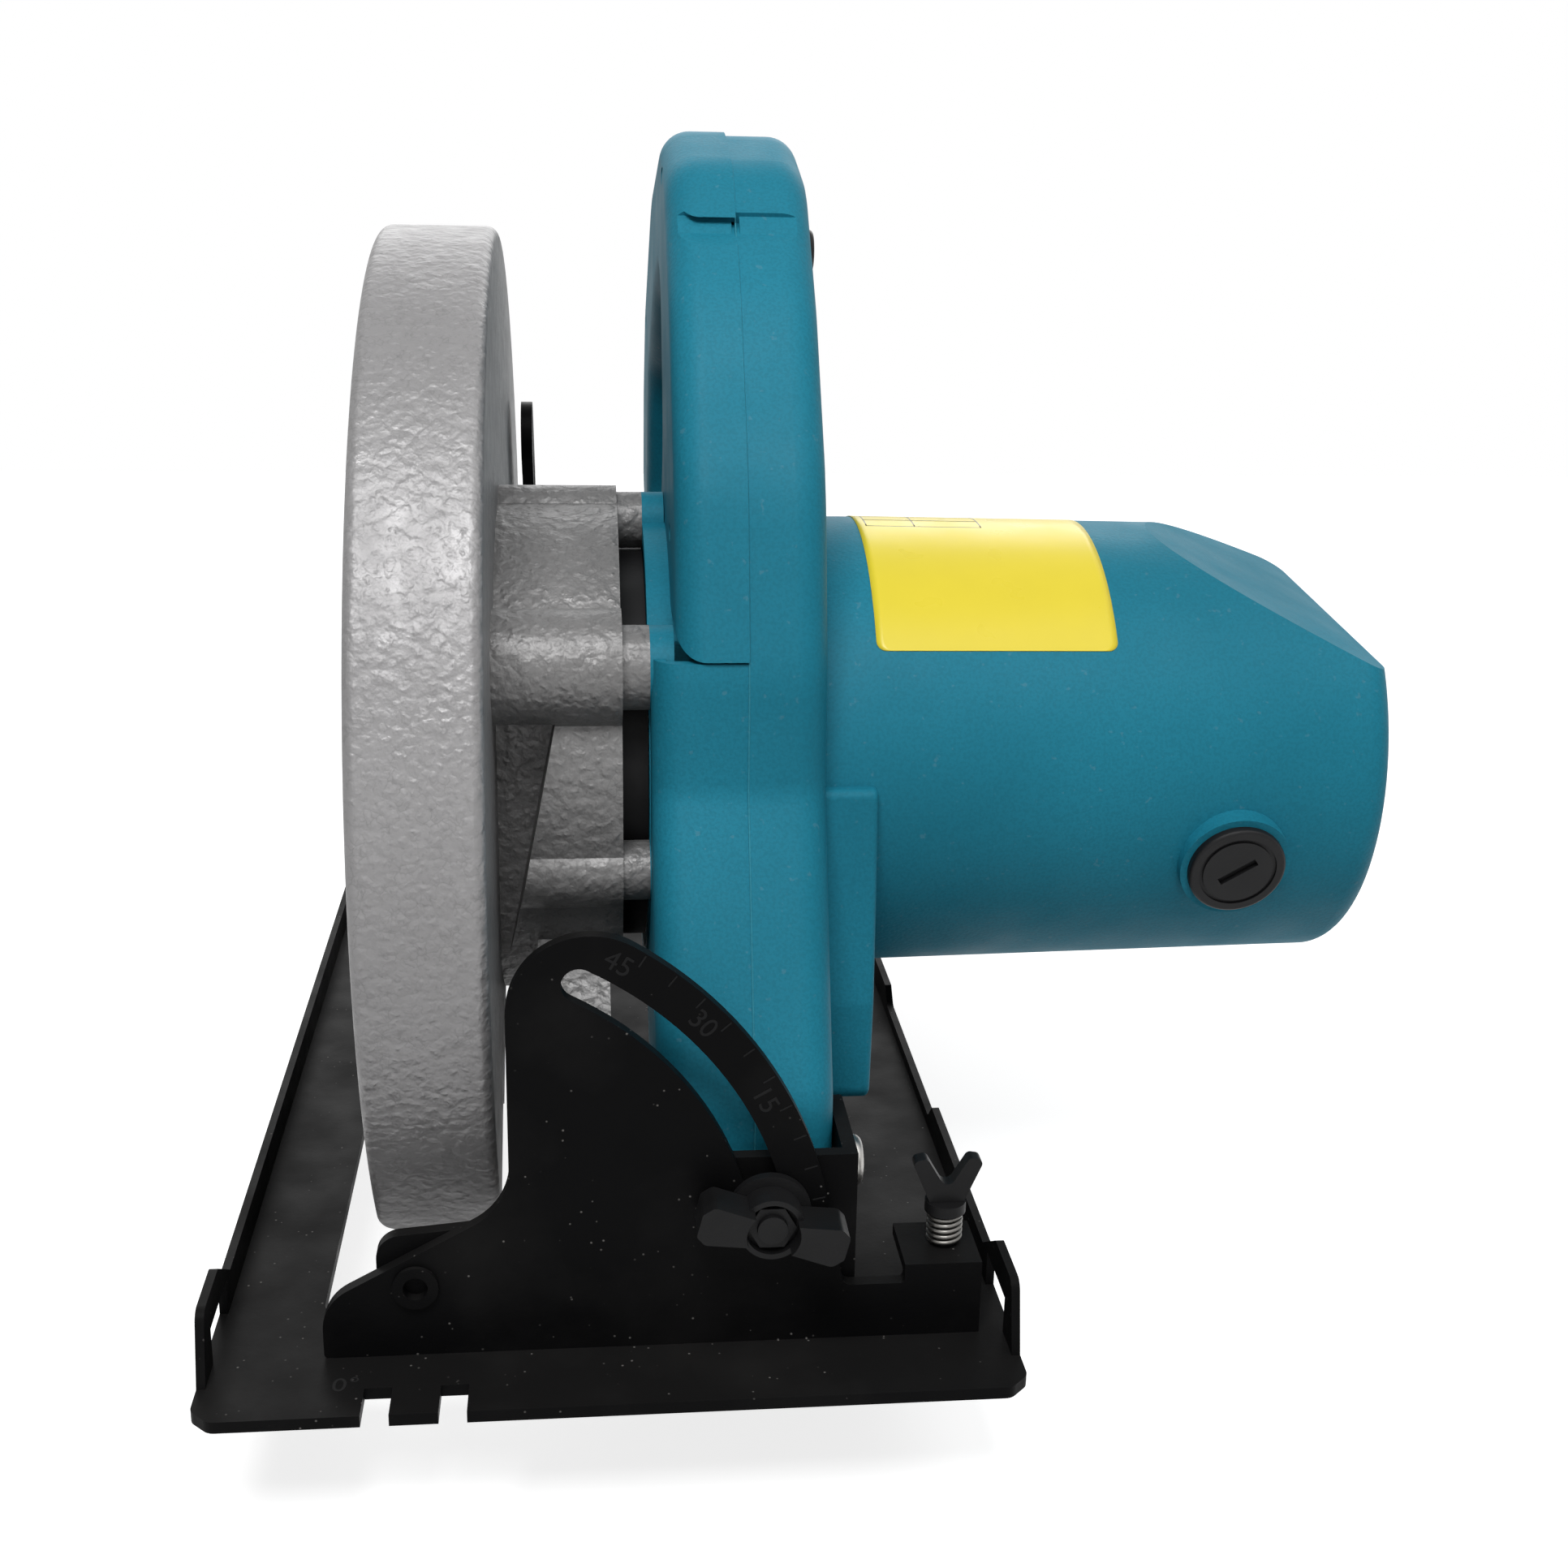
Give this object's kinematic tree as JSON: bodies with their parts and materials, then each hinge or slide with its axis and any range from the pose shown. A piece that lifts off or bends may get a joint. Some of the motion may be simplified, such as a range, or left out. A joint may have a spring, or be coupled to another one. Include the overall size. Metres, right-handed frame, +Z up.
{
  "type": "circular saw",
  "caption": "Corded circular saw with a teal closed-loop handle and side motor, cast upper guard, spring-return lower guard and a black steel base that tilts and sets the depth of cut.",
  "frame": {"origin": "centre of the underside of the base plate (the sole)", "axes": "+X towards the motor, -Y towards the front of the cut, +Z up"},
  "size_m": [0.2578, 0.3346, 0.2726],
  "materials": {
    "black_steel": "semi-gloss black paint",
    "zinc_steel": "zinc plated",
    "cast_aluminium": "shot-blasted casting",
    "bright_steel": "ground",
    "lamination_steel": "stacked sheet",
    "copper": "wound wire and segments",
    "teal_plastic": "fine-grained moulding",
    "black_plastic": "fine-grained moulding"
  },
  "bodies": {
    "base": {"base_plate": "black_steel", "bevel_quadrant": "black_steel", "rear_stand": "black_steel", "stand_rivets": "zinc_steel", "fence_clamp_spring": "zinc_steel"},
    "fence_screw": {"fence_clamp_screw": "black_steel"},
    "tilt_frame": {"front_tilt_bracket": "black_steel", "front_bevel_pin": "black_steel", "bevel_bolt": "black_steel", "depth_pivot_pin": "zinc_steel", "rear_tilt_bracket": "black_steel", "rear_bevel_pin": "zinc_steel", "depth_guide": "black_steel", "guide_rivets": "zinc_steel"},
    "wing_nut": {"bevel_wing_nut": "black_steel"},
    "saw_body": {"upper_guard": "cast_aluminium", "gear_housing": "cast_aluminium", "bearing_box": "cast_aluminium", "guard_ring": "zinc_steel", "guard_spring": "zinc_steel", "box_screws": "zinc_steel", "guard_screws": "zinc_steel", "spindle_bearings": "bright_steel", "motor_housing": "teal_plastic", "motor_bearings": "bright_steel", "field_core": "lamination_steel", "field_coils": "copper", "baffle": "black_plastic", "brush_holders": "copper", "carbon_brushes": "black_plastic", "brush_springs": "bright_steel", "brush_caps": "black_plastic", "handle_cover": "teal_plastic", "handle_leg": "teal_plastic", "handle_right": "teal_plastic", "handle_screws": "zinc_steel", "housing_screws": "zinc_steel", "switch_body": "black_plastic", "cord_gland": "black_plastic", "depth_clamp_stud": "zinc_steel"},
    "guard": {"lower_guard": "cast_aluminium", "guard_lever": "black_plastic", "lever_rivets": "zinc_steel"},
    "blade_spindle": {"spindle": "bright_steel", "drive_gear": "bright_steel", "inner_flange": "bright_steel", "outer_flange": "bright_steel", "saw_blade": "bright_steel", "carbide_tips": "bright_steel", "blade_bolt": "bright_steel"},
    "armature": {"armature_shaft": "bright_steel", "armature_core": "lamination_steel", "armature_windings": "copper", "commutator": "copper", "cooling_fan": "black_plastic"},
    "trigger": {"trigger": "black_plastic"},
    "lock_button": {"lock_button": "black_plastic"},
    "depth_lever": {"depth_lever": "black_plastic"}
  },
  "joints": [
    {"name": "bevel_tilt", "type": "hinge", "parent": "base", "child": "tilt_frame", "pos_m": [-0.04, -0.14728, 0.0184], "axis": [0, -1, 0], "range_deg": [0, 45]},
    {"name": "depth_swing", "type": "hinge", "parent": "tilt_frame", "child": "saw_body", "pos_m": [0, -0.12228, 0.03], "axis": [-1, 0, 0], "range_deg": [-5, 26]},
    {"name": "guard_swing", "type": "hinge", "parent": "saw_body", "child": "guard", "pos_m": [-0.04, -0.01528, 0.092], "axis": [1, 0, 0], "range_deg": [0, 110], "stiffness_Nm_per_rad": 0.15, "springref_deg": -68.75},
    {"name": "blade_spin", "type": "hinge", "parent": "saw_body", "child": "blade_spindle", "pos_m": [-0.04, -0.01528, 0.092], "axis": [1, 0, 0], "continuous": true},
    {"name": "motor_spin", "type": "hinge", "parent": "saw_body", "child": "armature", "pos_m": [0, -0.04476, 0.10238], "axis": [1, 0, 0], "continuous": true},
    {"name": "trigger_pull", "type": "slide", "parent": "saw_body", "child": "trigger", "axis": [0, 0.2756, 0.9613], "range_m": [0, 0.006], "stiffness_N_per_m": 900, "springref_m": -0.002},
    {"name": "lock_press", "type": "slide", "parent": "saw_body", "child": "lock_button", "axis": [-1, 0, 0], "range_m": [0, 0.0022], "stiffness_N_per_m": 900, "springref_m": -0.001},
    {"name": "depth_release", "type": "hinge", "parent": "saw_body", "child": "depth_lever", "pos_m": [-0.018, 0.06272, 0.139], "axis": [1, 0, 0], "range_deg": [0, 40]},
    {"name": "bevel_nut_turn", "type": "hinge", "parent": "tilt_frame", "child": "wing_nut", "pos_m": [0.03102, -0.14728, 0.03298], "axis": [0, -1, 0], "range_deg": [0, 150]},
    {"name": "fence_screw_turn", "type": "hinge", "parent": "base", "child": "fence_screw", "pos_m": [0.069, -0.13848, 0.0165], "axis": [0, 0, 1], "range_deg": [0, 180]}
  ],
  "couplings": [
    {"joint": "motor_spin", "follows": "blade_spin", "ratio": -4}
  ]
}
